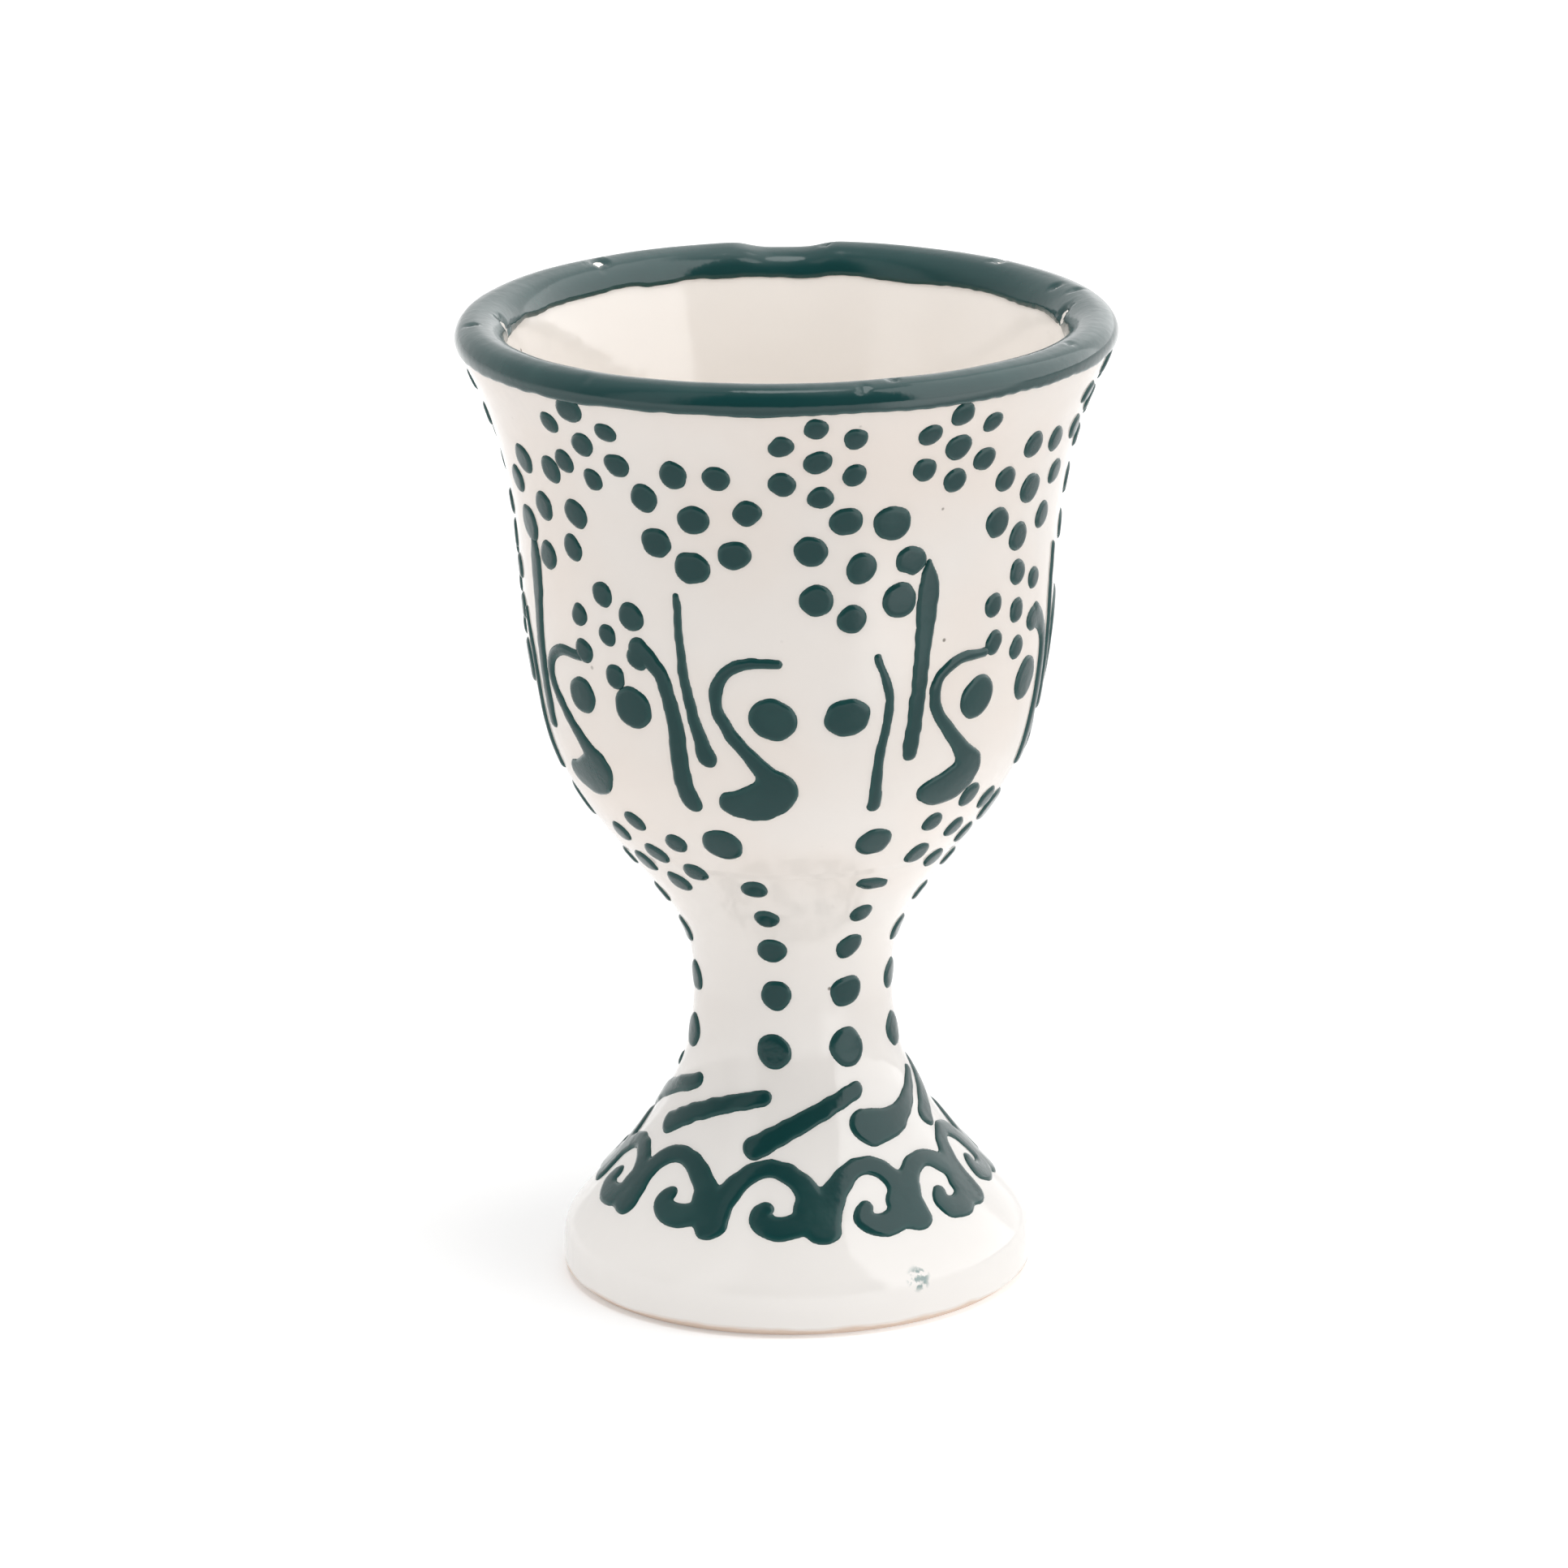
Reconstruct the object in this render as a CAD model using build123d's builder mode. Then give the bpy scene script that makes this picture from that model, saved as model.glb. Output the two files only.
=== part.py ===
"""Pedestal egg cup in glazed earthenware with slip-trailed relief ornament.

Millimetres, +Z up, origin at the middle of the resting face. Angles round the cup start at
the front, which faces -Y, and grow to the right as seen from there.
"""

import os
from math import cos, degrees, floor, pi, radians, sin, sqrt, tan

from build123d import *

os.makedirs("parts", exist_ok=True)

# Pedestal: foot and stem, thrown in one piece. A lean is the wall's angle outward from upright.
pedestal_height = 37.5
foot_radius = 19.0
foot_bevel = 0.7
foot_edge_height = 2.8
foot_round = 3.3
foot_lean = -44.0
waist_radius = 8.05
waist_height = 23.4
waist_length = 2.0

# Hollow turned under the foot
hollow_radius = 13.5
hollow_top_radius = 6.0
hollow_depth = 11.0

# Luted joint between pedestal and bowl
joint_radius = 14.6
joint_lean = 39.0

# Bowl: stations of the outside wall, of the lip and of the hollow that seats the egg
bowl_height = 42.2
belly_radius = 19.9
belly_rise = 10.0
belly_lean = 13.0
shoulder_radius = 21.5
shoulder_rise = 22.5
shoulder_lean = 2.5
lip_radius = 26.05
lip_drop = 2.0
lip_lean = 27.0
crest_radius = 24.75
mouth_radius = 22.4
mouth_drop = 2.0
mouth_lean = 12.0
throat_radius = 17.7
throat_rise = 23.5
throat_lean = 8.0
seat_radius = 15.0
seat_rise = 10.0
seat_lean = 28.0
floor_radius = 5.0
floor_rise = 4.0

# Round pieces are turned with fine flats, which keeps the cup light with all its relief
turned_sides = 44
bend_flats = 2
gentle_flats = 1
lip_flats = 3

# Coloured slip: thickness over the lip, height of dots and strokes on the wall, sides of a dot, and
# how far a stroke's outline reaches from its plane to find the curved wall
band_thickness = 0.3
relief = 0.45
dot_sides = 6
stroke_reach = 2.5

# Rosettes on the bowl: angle from the front and depth of the middle below the lip
rim_petals = 6
rim_ring = 3.25
rim_dot = 1.15
rim_places = (
    (-41, 5.8), (5.5, 6.1), (33, 5.9), (80, 5.9),
    (125, 5.8), (170, 6.1), (215, 5.8), (267, 5.9),
)
shoulder_petals = 7
shoulder_ring = 3.95
shoulder_dot = 1.45
shoulder_places = (
    (-59, 12.5), (-19, 11.3), (15, 15.4), (57, 11.3), (98, 15.0),
    (139, 11.8), (180, 14.5), (221, 11.8), (261, 15.0),
)
belly_petals = 6
belly_ring = 3.15
belly_dot = 1.1
belly_places = ((-42, 22.0), (57, 21.5), (163, 21.8), (269, 21.8))

# Rosettes under the bowl: angle from the front and depth of the middle below the lip
under_petals = 6
under_ring = 3.6
under_dot = 1.25
under_places = ((-45, 41.3), (52, 39.6), (150, 40.6), (255, 40.6))

# Tendrils round the belly: height above the joint, course and widths of the hook and of its drop
tendril_angles = (-58, -9.5, 39.5, 91, 143, 196, 249)
tendril_rise = 12.5
hook_path = ((2.5, 6.8), (-0.4, 6.9), (-2.3, 5.2), (-2.5, 3.0), (-1.2, 0.2), (0.7, -2.2), (1.5, -4.4))
hook_widths = (0.8, 1.0, 1.1, 1.1, 1.2, 1.5, 2.4)
drop_path = ((-2.6, -5.7), (-0.6, -5.6), (1.2, -5.1), (3.3, -4.5))
drop_widths = (1.8, 3.7, 4.2, 2.0)

# Strokes and eye dots beside each tendril, with their turns from it in degrees
wavy_turn = -19.0
straight_turn = -11.4
thick_wavy_path = ((-2.1, 7.2), (-0.3, 5.2), (0.5, 0.6), (0.3, -6.4))
thick_wavy_widths = (1.8, 1.4, 1.6, 2.0)
thin_wavy_path = ((-0.6, 6.8), (0.5, 2.7), (-0.2, -2.4), (-0.2, -6.4))
thin_wavy_widths = (0.6, 0.8, 0.9, 1.1)
thin_straight_path = ((-1.1, 11.8), (-0.5, 5.4), (0.6, -1.8))
thin_straight_widths = (0.7, 0.9, 1.5)
thick_straight_path = ((0.8, 14.0), (0.8, 12.0), (0.4, 6.5), (0.0, -1.8))
thick_straight_widths = (0.7, 1.9, 1.6, 1.4)
eye_dot = 1.8
eye_rise = 14.5
eye_turns = (-27.0, 5.8)

# Columns of dots down the stem: height above or below the joint, bead radius and turn from the column
column_angles = (-76, -11, 31, 74, 122, 172, 228)
column_dots = (
    (3.0, 1.75, -8.0), (-1.6, 1.15, -2.0), (-4.8, 1.1, 0.0),
    (-8.1, 1.1, 0.0), (-12.2, 1.2, 1.0), (-16.9, 1.6, 0.0),
)

# Slanted commas round the foot of the stem
comma_angles = (-86, -44, 4, 52, 94, 140, 186, 230)
comma_height = 15.6
comma_path = ((-4.3, -1.9), (-1.4, -0.3), (1.8, 0.8), (4.3, 1.5))
comma_widths = (2.2, 1.8, 1.6, 1.5)

# Running scroll round the foot: angle where each wave starts, and the course of its arch and
# of the eye that it curls to, as shares of the wave's length across and millimetres up the slope
wave_starts = (-65, -25, 9, 38, 66, 95, 123, 152, 181, 210, 238, 267)
wave_height = 9.8
arch_path = ((0.0, -3.1), (0.1, 0.2), (0.28, 2.6), (0.5, 3.2), (0.75, 2.3), (0.92, 0.0), (0.9, -2.6))
arch_widths = (2.0, 1.8, 1.6, 1.5, 1.7, 1.9, 1.6)
eye_path = ((0.92, -2.9), (0.72, -2.9), (0.56, -1.7), (0.5, -1.0))
eye_widths = (1.2, 2.0, 2.4, 1.2)

lip_height = pedestal_height + bowl_height


def heading(lean):
    """Direction in a profile that leans outward from straight up."""
    return Vector(sin(radians(lean)), cos(radians(lean)))


def arc_points(start, leaving, end, flats):
    """Points along the arc that leaves its start in a given direction, and its last direction."""
    arc = TangentArc(start, end, tangent=leaving, mode=Mode.PRIVATE)
    return [arc @ (step / flats) for step in range(flats + 1)], arc % 1


def station_points(start, start_lean, end, end_lean, flats):
    """Points along two tangent arcs that join two stations of a profile, each with its own lean."""
    leaving, arriving = heading(start_lean), heading(end_lean)
    chord = end - start
    bend = 2 * (1 - leaving.dot(arriving))
    along = chord.dot(leaving + arriving)
    arm = (sqrt(along**2 + bend * chord.dot(chord)) - along) / bend
    middle = (start + leaving * arm + end - arriving * arm) / 2
    first, passing = arc_points(start, leaving, middle, flats)
    second, _ = arc_points(middle, passing, end, flats)
    return first + second[1:]


def joined(*runs):
    """One run of points from several that share their end points."""
    return runs[0] + [point for run in runs[1:] for point in run[1:]]


def raised(points, height):
    """The same run of points, lifted off the wall so that every flat stays parallel."""
    flats = [(after - before).normalized() for before, after in zip(points, points[1:])]
    normals = [Vector(flat.Y, -flat.X) for flat in flats]
    corners = zip(points, normals[:1] + normals, normals + normals[-1:])
    return [point + (one + other) * (height / (1 + one.dot(other))) for point, one, other in corners]


# Stations of the profiles, as radius and height
foot_edge = Vector(foot_radius, foot_edge_height)
waist = Vector(waist_radius, waist_height)
waist_top = Vector(waist_radius, waist_height + waist_length)
joint_edge = Vector(joint_radius, pedestal_height)
belly = Vector(belly_radius, pedestal_height + belly_rise)
shoulder = Vector(shoulder_radius, pedestal_height + shoulder_rise)
lip = Vector(lip_radius, lip_height - lip_drop)
crest = Vector(crest_radius, lip_height)
mouth = Vector(mouth_radius, lip_height - mouth_drop)
throat = Vector(throat_radius, pedestal_height + throat_rise)
seat = Vector(seat_radius, pedestal_height + seat_rise)
bowl_floor = Vector(floor_radius, pedestal_height + floor_rise)

# Outside wall from the foot to the lip, then over the lip and down to the floor of the bowl
foot_arc = JernArc(foot_edge, (0, 1), foot_round, -foot_lean)
foot_points = [foot_arc @ (step / bend_flats) for step in range(bend_flats + 1)]
stem_points = station_points(foot_points[-1], foot_lean, waist, 0, bend_flats)
flare_points = station_points(waist_top, 0, joint_edge, joint_lean, bend_flats)
pedestal_points = joined(foot_points, stem_points) + flare_points
wall_points = joined(
    station_points(joint_edge, joint_lean, belly, belly_lean, bend_flats),
    station_points(belly, belly_lean, shoulder, shoulder_lean, gentle_flats),
    station_points(shoulder, shoulder_lean, lip, lip_lean, bend_flats),
)
outside_points = joined(pedestal_points, wall_points)
nose_points, crest_heading = arc_points(lip, heading(lip_lean), crest, lip_flats)
mouth_points, _ = arc_points(crest, crest_heading, mouth, lip_flats)
seat_points = joined(
    station_points(mouth, 180 + mouth_lean, throat, 180 + throat_lean, gentle_flats),
    station_points(throat, 180 + throat_lean, seat, 180 + seat_lean, gentle_flats),
    station_points(seat, 180 + seat_lean, bowl_floor, 270, bend_flats),
)


def turned(points):
    """Solid turned in fine flats through a run of profile points, with flat ends."""
    turns = [2 * pi * side / turned_sides for side in range(turned_sides)]
    rays = [Vector(cos(turn), sin(turn), 0) for turn in turns]
    rounds = [[ray * point.X + Vector(0, 0, point.Y) for ray in rays] for point in points]
    flats = [Face(Wire.make_polygon(end)) for end in (rounds[0], rounds[-1])]
    for lower, upper in zip(rounds, rounds[1:]):
        for side in range(turned_sides):
            corners = (lower[side - 1], lower[side], upper[side], upper[side - 1])
            flats.append(Face(Wire.make_polygon(corners)))
    return Solid(Shell(flats))


def wall_at(height):
    """Point of the outside wall at a height, and the direction in which the wall rises there."""
    for lower, upper in zip(outside_points, outside_points[1:]):
        if upper.Y >= height:
            break
    share = (height - lower.Y) / (upper.Y - lower.Y)
    return lower + (upper - lower) * share, (upper - lower).normalized()


def wall_plane(angle, height):
    """Plane of the wall's flat at an angle and height: X to the right round the cup, Y up and Z outward."""
    side = 360 / turned_sides
    middle = (floor((angle - 90) / side) + 0.5) * side
    outward = Vector(cos(radians(middle)), sin(radians(middle)), 0)
    across = Vector(-sin(radians(middle)), cos(radians(middle)), 0)
    inset = cos(radians(side / 2))
    point, rise = wall_at(height)
    on_flat = outward + across * tan(radians(angle - 90 - middle))
    origin = on_flat * (point.X * inset) + Vector(0, 0, point.Y)
    return Plane(origin, x_dir=across, z_dir=outward * rise.Y - Vector(0, 0, rise.X * inset))


def dot(angle, height, radius):
    """Outline of one trailed dot, seated on the wall."""
    with BuildSketch(wall_plane(angle, height)) as outline:
        RegularPolygon(radius, dot_sides)
    return outline.sketch.face()


def rosettes(places, petals, ring, radius):
    """Outlines of rings of dots, each round a middle dot, at several places below the lip."""
    dots = []
    for angle, drop in places:
        height = lip_height - drop
        point, rise = wall_at(height)
        dots.append(dot(angle, height, radius))
        for petal in range(petals):
            turn = 2 * pi * petal / petals
            across = degrees(ring * sin(turn) / point.X)
            dots.append(dot(angle + across, height + ring * cos(turn) * rise.Y, radius))
    return dots


def ribbon(path, widths):
    """Outline of a stroke with a width at each point of its path."""
    points = [Vector(*point) for point in path]
    left, right = [], []
    for point, width, behind, beyond in zip(points, widths, points[:1] + points, points[1:] + points[-1:]):
        along = (beyond - behind).normalized()
        aside = Vector(-along.Y, along.X) * (width / 2)
        left.append(point + aside)
        right.insert(0, point - aside)
    return left + right


def strokes(angle, height, *courses):
    """Outlines, on the wall's plane at one spot, of strokes that may run into each other."""
    with BuildSketch(wall_plane(angle, height)) as outline:
        for path, widths in courses:
            with BuildLine():
                Polyline(*ribbon(path, widths), close=True)
            make_face()
    return outline.sketch.faces()


# Pedestal: foot and stem, with the hollow turned out from below
with BuildPart() as pedestal:
    base_points = [Vector(foot_radius - foot_bevel, 0), Vector(foot_radius, foot_bevel)]
    add(turned(base_points + pedestal_points))
    hollow_points = [Vector(hollow_radius, 0), Vector(hollow_top_radius, hollow_depth)]
    add(turned(hollow_points), mode=Mode.SUBTRACT)

# Bowl: outside wall up to the crest of the lip, with the hollow that seats the egg
with BuildPart() as bowl:
    add(turned(joined(wall_points, nose_points)))
    add(turned(joined(mouth_points, seat_points)), mode=Mode.SUBTRACT)

# Slip band over the lip, open down the middle
with BuildPart() as rim_band:
    band_points = raised(joined(nose_points, mouth_points), band_thickness)
    add(turned(band_points[: lip_flats + 1]))
    band_foot = Vector(band_points[-1].X, lip.Y - lip_drop)
    add(turned(band_points[lip_flats:] + [band_foot]), mode=Mode.SUBTRACT)
    add(bowl.part, mode=Mode.SUBTRACT)

# Skin of slip as thick as the relief, from which the strokes are cut
with BuildPart() as skin:
    add(turned(raised(outside_points, relief)))
    for earlier in (pedestal, bowl):
        add(earlier.part, mode=Mode.SUBTRACT)

# Rings of dots below the lip
with BuildPart() as rim_rosettes:
    extrude(rosettes(rim_places, rim_petals, rim_ring, rim_dot), amount=relief)
    for earlier in (bowl, rim_band):
        add(earlier.part, mode=Mode.SUBTRACT)

# Larger rings of dots on the shoulder
with BuildPart() as shoulder_rosettes:
    extrude(rosettes(shoulder_places, shoulder_petals, shoulder_ring, shoulder_dot), amount=relief)
    for earlier in (bowl, rim_rosettes):
        add(earlier.part, mode=Mode.SUBTRACT)

# Small rings of dots on the belly
with BuildPart() as belly_rosettes:
    extrude(rosettes(belly_places, belly_petals, belly_ring, belly_dot), amount=relief)
    for earlier in (bowl, shoulder_rosettes):
        add(earlier.part, mode=Mode.SUBTRACT)

# Hooked tendrils that end in a fat drop
tendril_height = pedestal_height + tendril_rise
with BuildPart() as tendrils:
    for angle in tendril_angles:
        outlines = strokes(angle, tendril_height, (hook_path, hook_widths), (drop_path, drop_widths))
        extrude(outlines, amount=stroke_reach, both=True)
    add(skin.part, mode=Mode.INTERSECT)
    add(belly_rosettes.part, mode=Mode.SUBTRACT)

# A thick and a thin stroke to the left of each tendril, taking turns to be the wavy one
with BuildPart() as belly_strokes:
    for index, angle in enumerate(tendril_angles):
        if index % 2:
            wavy = (thick_wavy_path, thick_wavy_widths)
            straight = (thin_straight_path, thin_straight_widths)
        else:
            wavy = (thin_wavy_path, thin_wavy_widths)
            straight = (thick_straight_path, thick_straight_widths)
        extrude(strokes(angle + wavy_turn, tendril_height, wavy), amount=stroke_reach, both=True)
        extrude(strokes(angle + straight_turn, tendril_height, straight), amount=stroke_reach, both=True)
    add(skin.part, mode=Mode.INTERSECT)
    for earlier in (shoulder_rosettes, belly_rosettes, tendrils):
        add(earlier.part, mode=Mode.SUBTRACT)

# Single large dots between tendrils and strokes
with BuildPart() as eye_dots:
    eye_height = pedestal_height + eye_rise
    eyes = [dot(angle + turn, eye_height, eye_dot) for angle in tendril_angles for turn in eye_turns]
    extrude(eyes, amount=relief)
    for earlier in (bowl, belly_rosettes, tendrils, belly_strokes):
        add(earlier.part, mode=Mode.SUBTRACT)

# Rings of dots under the bowl, across the luted joint
with BuildPart() as under_bowl_rosettes:
    extrude(rosettes(under_places, under_petals, under_ring, under_dot), amount=relief)
    for earlier in (bowl, pedestal, tendrils, belly_strokes):
        add(earlier.part, mode=Mode.SUBTRACT)

# Columns of dots down the stem
with BuildPart() as stem_dot_columns:
    for angle in column_angles:
        dots = [dot(angle + turn, pedestal_height + rise, radius) for rise, radius, turn in column_dots]
        extrude(dots, amount=relief)
    for earlier in (bowl, pedestal, tendrils, belly_strokes, under_bowl_rosettes):
        add(earlier.part, mode=Mode.SUBTRACT)

# Slanted commas round the foot of the stem
with BuildPart() as stem_commas:
    for angle in comma_angles:
        extrude(strokes(angle, comma_height, (comma_path, comma_widths)), amount=stroke_reach, both=True)
    add(skin.part, mode=Mode.INTERSECT)
    add(stem_dot_columns.part, mode=Mode.SUBTRACT)

# Running scroll round the foot, each wave ending in the eye that it curls to
with BuildPart() as foot_scrolls:
    wave_ends = wave_starts[1:] + (wave_starts[0] + 360,)
    for start, end in zip(wave_starts, wave_ends):
        length = radians(end - start) * wall_at(wave_height)[0].X
        arch = [((share - 0.5) * length, up) for share, up in arch_path]
        eye = [((share - 0.5) * length, up) for share, up in eye_path]
        outlines = strokes((start + end) / 2, wave_height, (arch, arch_widths), (eye, eye_widths))
        extrude(outlines, amount=stroke_reach, both=True)
    add(skin.part, mode=Mode.INTERSECT)
    add(stem_commas.part, mode=Mode.SUBTRACT)

pieces = {
    "pedestal": pedestal,
    "bowl": bowl,
    "rim_band": rim_band,
    "rim_rosettes": rim_rosettes,
    "shoulder_rosettes": shoulder_rosettes,
    "belly_rosettes": belly_rosettes,
    "tendrils": tendrils,
    "belly_strokes": belly_strokes,
    "eye_dots": eye_dots,
    "under_bowl_rosettes": under_bowl_rosettes,
    "stem_dot_columns": stem_dot_columns,
    "stem_commas": stem_commas,
    "foot_scrolls": foot_scrolls,
}
for piece_name, piece in pieces.items():
    piece.part.label = piece_name
    export_step(piece.part, f"parts/{piece_name}.step")
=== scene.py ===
import math

import bpy
import numpy as np
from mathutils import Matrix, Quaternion, Vector


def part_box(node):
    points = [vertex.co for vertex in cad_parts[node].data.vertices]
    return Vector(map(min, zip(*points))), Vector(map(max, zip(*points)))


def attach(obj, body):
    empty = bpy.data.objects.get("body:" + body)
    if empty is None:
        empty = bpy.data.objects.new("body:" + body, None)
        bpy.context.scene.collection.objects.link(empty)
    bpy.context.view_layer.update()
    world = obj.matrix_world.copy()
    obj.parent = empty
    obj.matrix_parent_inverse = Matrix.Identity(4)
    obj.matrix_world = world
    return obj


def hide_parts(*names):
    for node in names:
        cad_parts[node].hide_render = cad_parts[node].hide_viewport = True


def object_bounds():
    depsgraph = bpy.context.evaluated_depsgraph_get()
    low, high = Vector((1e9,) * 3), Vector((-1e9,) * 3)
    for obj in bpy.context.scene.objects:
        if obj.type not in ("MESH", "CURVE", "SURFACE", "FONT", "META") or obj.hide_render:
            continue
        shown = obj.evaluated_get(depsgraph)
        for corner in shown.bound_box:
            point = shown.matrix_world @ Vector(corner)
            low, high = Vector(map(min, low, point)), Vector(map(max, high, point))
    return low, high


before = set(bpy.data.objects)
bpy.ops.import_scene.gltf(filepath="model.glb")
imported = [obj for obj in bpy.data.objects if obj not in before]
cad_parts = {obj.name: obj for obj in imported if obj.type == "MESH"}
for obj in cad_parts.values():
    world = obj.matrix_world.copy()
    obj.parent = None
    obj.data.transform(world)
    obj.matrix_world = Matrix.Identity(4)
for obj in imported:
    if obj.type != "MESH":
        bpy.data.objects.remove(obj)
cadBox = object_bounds()
mm = 0.001
print("frame loaded")

# the photograph's view, in mm and degrees
view = {
    "target": (-0.6, 0.0, 40.68), "distance": 700.0, "elevation": 16.35, "roll": -0.7,
    "lens": 199.0, "sensor": 36.0, "nearest": 10.0,
}


def setCamera():
    tilt = math.radians(view["elevation"])
    target = Vector(view["target"]) * mm
    back = Vector((0.0, -math.cos(tilt), math.sin(tilt)))
    data = bpy.data.cameras.new("photoCamera")
    data.sensor_width = view["sensor"]
    data.lens = view["lens"]
    data.clip_start = view["nearest"] * mm
    camera = bpy.data.objects.new("photoCamera", data)
    camera.location = target + back * view["distance"] * mm
    camera.rotation_mode = "QUATERNION"
    upright = (-back).to_track_quat("-Z", "Y")
    camera.rotation_quaternion = upright @ Quaternion((0, 0, 1), math.radians(view["roll"]))
    bpy.context.collection.objects.link(camera)
    bpy.context.scene.camera = camera


setCamera()
print("camera set")

# turned profile, read from the frame's own rings and rounded off between them, and the potter's errors
# lengths in mm, turns in radians
turning = {
    "cutsPerRing": 8, "slicesRound": 240, "leastLean": 0.05, "closest": 1e-6, "slopeStep": 0.3,
    "sway": 0.08, "swayFrom": 3, "swayTo": 77,
    "oval": 0.06, "ovalAt": 26, "ovalTurn": 0.8,
    "dip": 0.1, "dipFrom": 60, "dipTurn": 1.2,
    "backDip": 0.5, "backTurn": 3.14, "backWidth": 0.13,
}


def ringsOf(nodeName, facing):
    # radius and height in mm of the rings whose faces look away from the axis (1) or towards it (-1)
    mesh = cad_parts[nodeName].data
    rings = set()
    for face in mesh.polygons:
        outward = face.normal.x * face.center.x + face.normal.y * face.center.y
        if facing * outward > turning["leastLean"] * math.hypot(face.center.x, face.center.y):
            for index in face.vertices:
                spot = mesh.vertices[index].co / mm
                rings.add((round(math.hypot(spot.x, spot.y), 2), round(spot.z, 2)))
    return sorted(rings, key=lambda ring: (ring[1], ring[0]))


def knotGap(first, second):
    return max(np.linalg.norm((second - first)[:2]), turning["closest"]) ** 0.5


def flowing(points, cuts):
    # Catmull-Rom curve through the points, with knots by the root of the spacing
    points = np.array(points, float)
    ends = [2 * points[0] - points[1], *points, 2 * points[-1] - points[-2]]
    curve = [points[0]]
    for p0, p1, p2, p3 in zip(ends, ends[1:], ends[2:], ends[3:]):
        t1 = knotGap(p0, p1)
        t2 = t1 + knotGap(p1, p2)
        t3 = t2 + knotGap(p2, p3)
        for step in range(1, cuts + 1):
            t = t1 + (t2 - t1) * step / cuts
            a1 = p0 * (t1 - t) / t1 + p1 * t / t1
            a2 = p1 * (t2 - t) / (t2 - t1) + p2 * (t - t1) / (t2 - t1)
            a3 = p2 * (t3 - t) / (t3 - t2) + p3 * (t - t2) / (t3 - t2)
            b1 = a1 * (t2 - t) / t2 + a2 * t / t2
            b2 = a2 * (t3 - t) / (t3 - t1) + a3 * (t - t1) / (t3 - t1)
            curve.append(b1 * (t2 - t) / (t2 - t1) + b2 * (t - t1) / (t2 - t1))
    return np.array(curve)


def joinedRings():
    # pedestal and bowl share the ring of the luted joint, which counts once
    rings = ringsOf("pedestal", 1) + ringsOf("bowl", 1)
    return [ring for index, ring in enumerate(rings) if index == 0 or rings[index - 1] != ring]


def lengthOf(line):
    # mm along a profile line at each of its points
    return np.concatenate([[0], np.cumsum(np.hypot(*np.diff(line, axis=0).T))])


outerRings = joinedRings()
innerRings = ringsOf("bowl", -1)[::-1]
hollowRings = ringsOf("pedestal", -1)
outerWall = flowing(outerRings[1:], turning["cutsPerRing"])  # from the foot's edge to the crest of the lip
innerWall = flowing(innerRings, turning["cutsPerRing"])  # from the crest down to the floor of the bowl
wallLength = lengthOf(outerWall)
lipHeight = outerWall[-1][1]
cupHeight = round(cadBox[1][2] / mm)
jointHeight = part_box("pedestal")[1][2] / mm


def lengthAt(height):
    return np.interp(height, outerWall[:, 1], wallLength)


def heightAt(along):
    return np.interp(along, wallLength, outerWall[:, 1])


def radiusAt(height):
    return np.interp(height, outerWall[:, 1], outerWall[:, 0])


def halfTurn(degrees):
    # the same direction between -180 and 180
    return (degrees + 180) % 360 - 180


uneven = {"waves": 6, "pace": (0.6, 1.8), "level": 3.5}


def unevenness(u, v, size, seed):
    # soft wobble of about -1 to 1 from a few sine waves
    dice = np.random.default_rng(seed)
    total = 0
    for wave in range(uneven["waves"]):
        turn, phase = dice.uniform(0, 2 * math.pi, 2)
        pace = 2 * math.pi / size * dice.uniform(*uneven["pace"])
        total = total + np.sin(pace * (u * math.cos(turn) + v * math.sin(turn)) + phase)
    return total / uneven["level"]


def handThrown(radius, angle, height):
    # turns radius, angle (radians from the front) and height into metres, with the potter's small errors
    swayed = (height - turning["swayFrom"]) / (turning["swayTo"] - turning["swayFrom"])
    bow = np.sin(np.pi * np.clip(swayed, 0, 1))
    squeeze = turning["oval"] / turning["ovalAt"] * np.cos(2 * angle - turning["ovalTurn"])
    reach = radius * (1 + squeeze * np.clip(height / cupHeight, 0, 1))
    upper = np.clip((height - turning["dipFrom"]) / (cupHeight - turning["dipFrom"]), 0, 1)
    behind = np.exp(-(((angle % (2 * np.pi)) - turning["backTurn"]) / turning["backWidth"]) ** 4)
    sag = turning["dip"] * (np.sin(2 * angle + turning["dipTurn"]) - 1)
    lift = upper * sag - upper**4 * turning["backDip"] * behind
    x = reach * np.sin(angle) - turning["sway"] * bow
    y = -reach * np.cos(angle)
    return np.stack([x, y, height + lift], -1) * mm


def slopeOf(along, length, line, step):
    # unit direction, out and up, of a profile line at a length along it
    rise = np.stack([np.interp(along + step, length, line[:, k]) - np.interp(along - step, length, line[:, k])
                     for k in (0, 1)], -1)
    return rise / np.linalg.norm(rise, axis=-1, keepdims=True)


def onWall(angle, height, across, up, lift, around=None):
    # spots on the outside wall, mm across and up the wall from an angle (degrees) and height, lifted off it
    # a strip that runs all the way round counts across at one radius
    along = lengthAt(height) + up
    radius = np.interp(along, wallLength, outerWall[:, 0])
    rise = slopeOf(along, wallLength, outerWall, turning["slopeStep"])
    turn = math.radians(angle) + across / (around or radius)
    return handThrown(radius + lift * rise[..., 1], turn, heightAt(along) - lift * rise[..., 0])


def domed(depth, edgeRound):
    # share of the full height, which rises in a quarter circle from the edge
    return np.sqrt(1 - (1 - np.clip(depth / edgeRound, 0, 1)) ** 2)


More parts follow.
